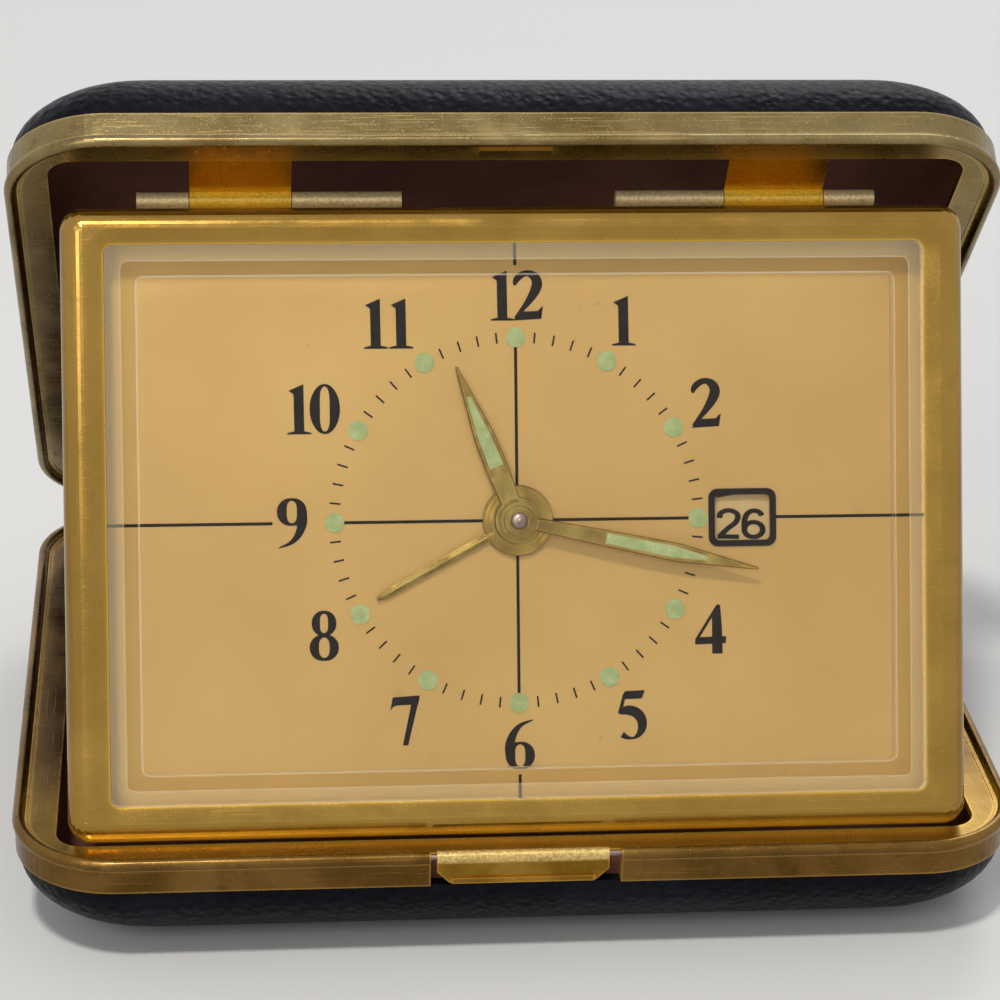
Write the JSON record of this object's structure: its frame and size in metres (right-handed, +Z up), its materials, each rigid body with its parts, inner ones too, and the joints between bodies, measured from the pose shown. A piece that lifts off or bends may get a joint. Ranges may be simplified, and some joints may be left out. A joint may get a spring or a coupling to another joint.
{
  "type": "folding travel alarm clock",
  "caption": "Wind-up travel alarm clock with a date window, folding out of a leather covered clamshell case that stands as its support.",
  "frame": {"origin": "centre of the flat underside of the base, on the surface it stands on", "axes": "+X to the viewer's right along the case hinge, +Y to the back, +Z up"},
  "size_m": [0.0974, 0.0833, 0.0767],
  "materials": {
    "leather": "black pebbled leather",
    "rim_gold": "worn gilt brass",
    "case_gilt": "polished gilt brass",
    "lining": "dark brown flock",
    "steel": "plain steel",
    "movement_brass": "brushed brass",
    "acrylic": "clear acrylic",
    "dial": "satin champagne dial",
    "dial_black": "black print",
    "lume": "pale green luminous paint",
    "hand_gilt": "polished gilt",
    "date_paper": "cream date ring",
    "spring_steel": "blued steel"
  },
  "bodies": {
    "base": {"base_cover": "leather", "base_rim": "rim_gold", "base_lining": "lining", "base_hinge_leaf": "rim_gold", "case_hinge_pin": "steel", "latch_pin": "steel", "latch_spring": "steel"},
    "latch": {"latch_flap": "rim_gold"},
    "lid": {"lid_cover": "leather", "lid_rim": "rim_gold", "lid_lining": "lining", "lid_hinge_leaf": "rim_gold", "latch_catch": "rim_gold", "clock_hinge_tabs": "rim_gold"},
    "clock": {"bezel": "case_gilt", "crystal": "acrylic", "dial": "dial", "hour_dots": "lume", "date_window_frame": "dial_black", "rear_cover": "case_gilt", "clock_hinge_knuckles": "case_gilt", "clock_hinge_pins": "steel", "movement_front_plate": "movement_brass", "movement_back_plate": "movement_brass", "plate_pillars": "steel", "cover_screws": "steel", "date_ring_guides": "steel", "alarm_barrel": "movement_brass", "fourth_wheel": "movement_brass", "escape_wheel": "steel", "pallet_lever": "steel", "hairspring": "spring_steel"},
    "minute": {"center_arbor": "steel", "minute_hand": "hand_gilt", "minute_hand_lume": "lume", "center_wheel": "movement_brass", "time_set_knob": "case_gilt"},
    "hour": {"hour_wheel": "movement_brass", "hour_hand": "hand_gilt", "hour_hand_lume": "lume"},
    "motion_work": {"minute_wheel": "movement_brass"},
    "date_drive": {"date_driver": "movement_brass"},
    "date": {"date_ring": "date_paper"},
    "alarm_setting": {"alarm_set_arbor": "steel", "alarm_set_knob": "case_gilt"},
    "alarm_show": {"alarm_wheel": "movement_brass", "alarm_hand": "hand_gilt"},
    "going_barrel": {"time_barrel": "movement_brass"},
    "third": {"third_wheel": "movement_brass"},
    "time_winder": {"time_key": "case_gilt"},
    "alarm_winder": {"alarm_key": "case_gilt"},
    "balance": {"balance_wheel": "movement_brass"},
    "hammer": {"alarm_hammer": "steel"},
    "alarm_stop": {"alarm_stop_slide": "case_gilt"},
    "regulator": {"regulator_lever": "steel"}
  },
  "joints": [
    {"name": "case_hinge", "type": "hinge", "parent": "base", "child": "lid", "pos_m": [0, 0.0403, 0.0125], "axis": [-1, 0, 0], "range_deg": [0, 60]},
    {"name": "clock_hinge", "type": "hinge", "parent": "lid", "child": "clock", "pos_m": [0, -0.00377, 0.06534], "axis": [1, 0, 0], "range_deg": [0, 63.06]},
    {"name": "latch_press", "type": "hinge", "parent": "base", "child": "latch", "pos_m": [0, -0.0382, 0.01185], "axis": [1, 0, 0], "range_deg": [0, 8], "stiffness_Nm_per_rad": 0.01},
    {"name": "time_setting", "type": "hinge", "parent": "clock", "child": "minute", "pos_m": [0, -0.01605, 0.03671], "axis": [0, 0.9189, -0.3944], "continuous": true},
    {"name": "hour_hand_turn", "type": "hinge", "parent": "clock", "child": "hour", "pos_m": [0, -0.01605, 0.03671], "axis": [0, 0.9189, -0.3944], "continuous": true},
    {"name": "minute_wheel_turn", "type": "hinge", "parent": "clock", "child": "motion_work", "pos_m": [0.006, -0.01605, 0.03671], "axis": [0, 0.9189, -0.3944], "continuous": true},
    {"name": "date_driver_turn", "type": "hinge", "parent": "clock", "child": "date_drive", "pos_m": [0, -0.02173, 0.02348], "axis": [0, 0.9189, -0.3944], "continuous": true},
    {"name": "date_ring_turn", "type": "hinge", "parent": "clock", "child": "date", "pos_m": [0, -0.01605, 0.03671], "axis": [0, 0.9189, -0.3944], "continuous": true},
    {"name": "barrel_turn", "type": "hinge", "parent": "clock", "child": "going_barrel", "pos_m": [-0.00952, -0.0178, 0.03263], "axis": [0, 0.9189, -0.3944], "continuous": true},
    {"name": "third_wheel_turn", "type": "hinge", "parent": "clock", "child": "third", "pos_m": [0.00324, -0.01384, 0.04187], "axis": [0, 0.9189, -0.3944], "continuous": true},
    {"name": "alarm_set_turn", "type": "hinge", "parent": "clock", "child": "alarm_setting", "pos_m": [-0.00325, -0.01383, 0.04188], "axis": [0, 0.9189, -0.3944], "continuous": true},
    {"name": "alarm_hand_turn", "type": "hinge", "parent": "clock", "child": "alarm_show", "pos_m": [0, -0.01605, 0.03671], "axis": [0, 0.9189, -0.3944], "continuous": true},
    {"name": "time_winding", "type": "hinge", "parent": "clock", "child": "time_winder", "pos_m": [-0.00952, -0.0178, 0.03263], "axis": [0, 0.9189, -0.3944], "continuous": true},
    {"name": "alarm_winding", "type": "hinge", "parent": "clock", "child": "alarm_winder", "pos_m": [0.02, -0.0196, 0.02844], "axis": [0, 0.9189, -0.3944], "continuous": true},
    {"name": "balance_swing", "type": "hinge", "parent": "clock", "child": "balance", "pos_m": [0.01893, -0.01128, 0.04783], "axis": [0, 0.9189, -0.3944], "range_deg": [-150, 150], "stiffness_Nm_per_rad": 0.00002},
    {"name": "hammer_swing", "type": "hinge", "parent": "clock", "child": "hammer", "pos_m": [0.025, -0.02236, 0.02201], "axis": [0, 0.9189, -0.3944], "range_deg": [-8, 8], "stiffness_Nm_per_rad": 0.0002},
    {"name": "alarm_stop_slide", "type": "slide", "parent": "clock", "child": "alarm_stop", "axis": [1, 0, 0], "range_m": [0, 0.0024]},
    {"name": "regulator_turn", "type": "hinge", "parent": "clock", "child": "regulator", "pos_m": [0.01893, -0.01128, 0.04783], "axis": [0, 0.9189, -0.3944], "range_deg": [-20, 20]}
  ],
  "couplings": [
    {"joint": "hour_hand_turn", "follows": "time_setting", "ratio": 0.083333},
    {"joint": "minute_wheel_turn", "follows": "time_setting", "ratio": -0.33333},
    {"joint": "date_driver_turn", "follows": "time_setting", "ratio": -0.041667},
    {"joint": "date_ring_turn", "follows": "time_setting", "ratio": -0.0013441},
    {"joint": "barrel_turn", "follows": "time_setting", "ratio": -0.16667},
    {"joint": "third_wheel_turn", "follows": "time_setting", "ratio": -8},
    {"joint": "alarm_hand_turn", "follows": "alarm_set_turn", "ratio": -0.3}
  ]
}
